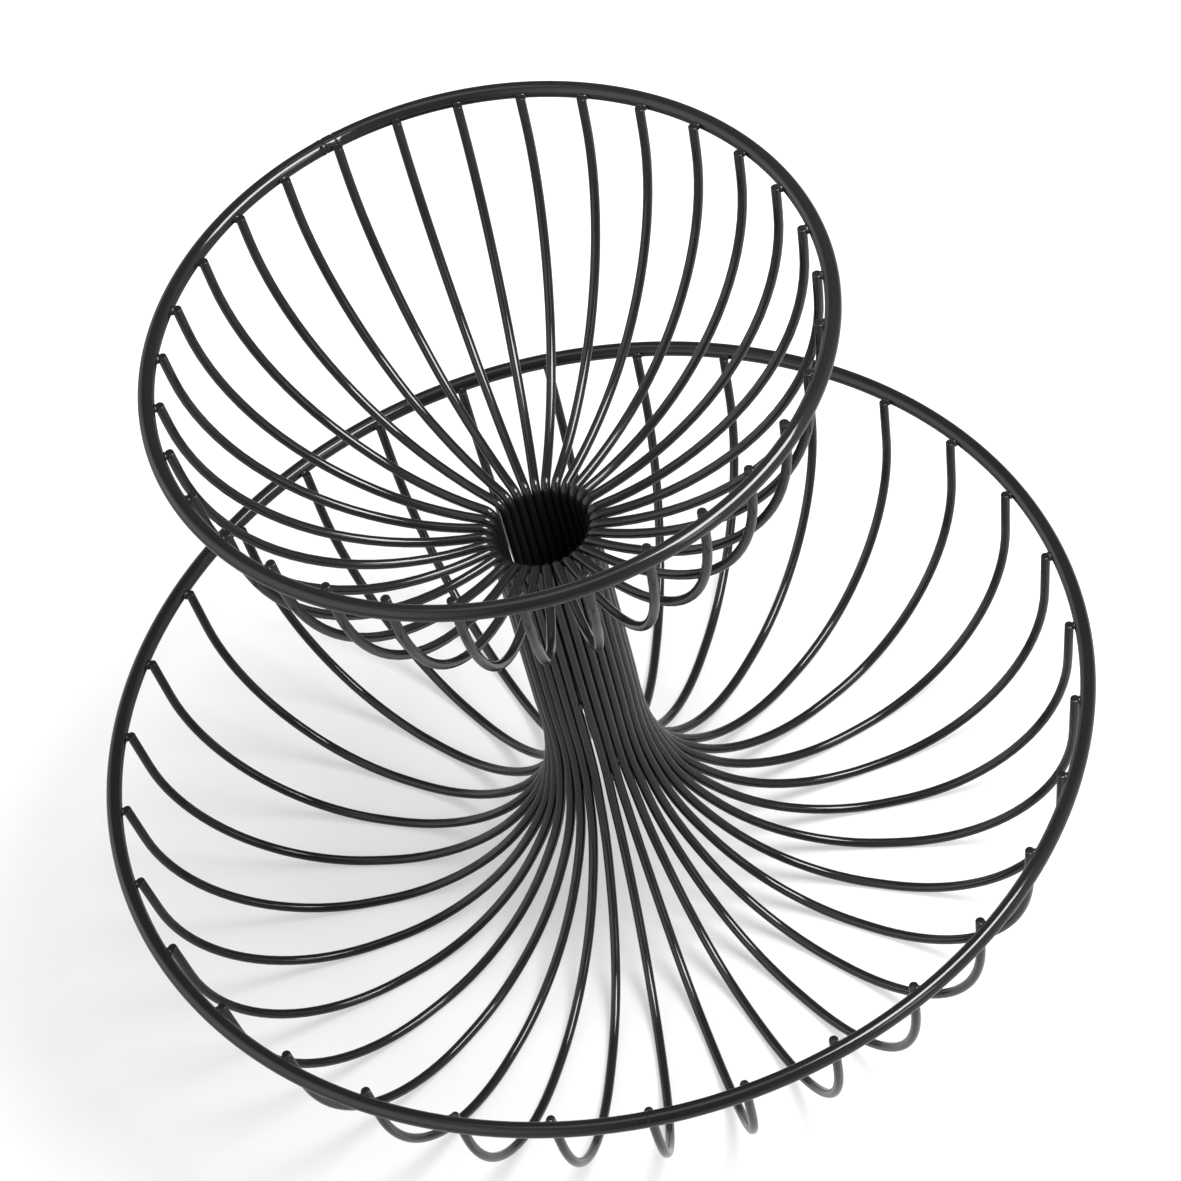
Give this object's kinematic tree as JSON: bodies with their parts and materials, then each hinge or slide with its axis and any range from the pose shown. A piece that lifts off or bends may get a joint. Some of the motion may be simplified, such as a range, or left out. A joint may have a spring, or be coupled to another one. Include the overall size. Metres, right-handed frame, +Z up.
{
  "type": "tiered wire basket",
  "caption": "Two-tier fruit basket of bare bent wire: a small bowl on a hollow column of wires that flares into a wide bowl, each with a round rim.",
  "frame": {"origin": "on the table, on the axis of the column, so the basket stands on z = 0", "axes": "+Z up along the column's axis; +X runs through wire_01, and the wires are numbered anticlockwise seen from above"},
  "size_m": [0.36, 0.36, 0.2882],
  "materials": {
    "rim_coat": "satin black powder coat on 5.5 mm steel wire",
    "wire_coat": "satin black powder coat on 3.2 mm steel wire"
  },
  "bodies": {
    "root": {"lower_rim": "rim_coat", "upper_rim": "rim_coat", "wire_01": "wire_coat", "wire_02": "wire_coat", "wire_03": "wire_coat", "wire_04": "wire_coat", "wire_05": "wire_coat", "wire_06": "wire_coat", "wire_07": "wire_coat", "wire_08": "wire_coat", "wire_09": "wire_coat", "wire_10": "wire_coat", "wire_11": "wire_coat", "wire_12": "wire_coat", "wire_13": "wire_coat", "wire_14": "wire_coat", "wire_15": "wire_coat", "wire_16": "wire_coat", "wire_17": "wire_coat", "wire_18": "wire_coat", "wire_19": "wire_coat", "wire_20": "wire_coat", "wire_21": "wire_coat", "wire_22": "wire_coat", "wire_23": "wire_coat", "wire_24": "wire_coat", "wire_25": "wire_coat", "wire_26": "wire_coat", "wire_27": "wire_coat", "wire_28": "wire_coat", "wire_29": "wire_coat", "wire_30": "wire_coat", "wire_31": "wire_coat", "wire_32": "wire_coat"}
  },
  "joints": []
}
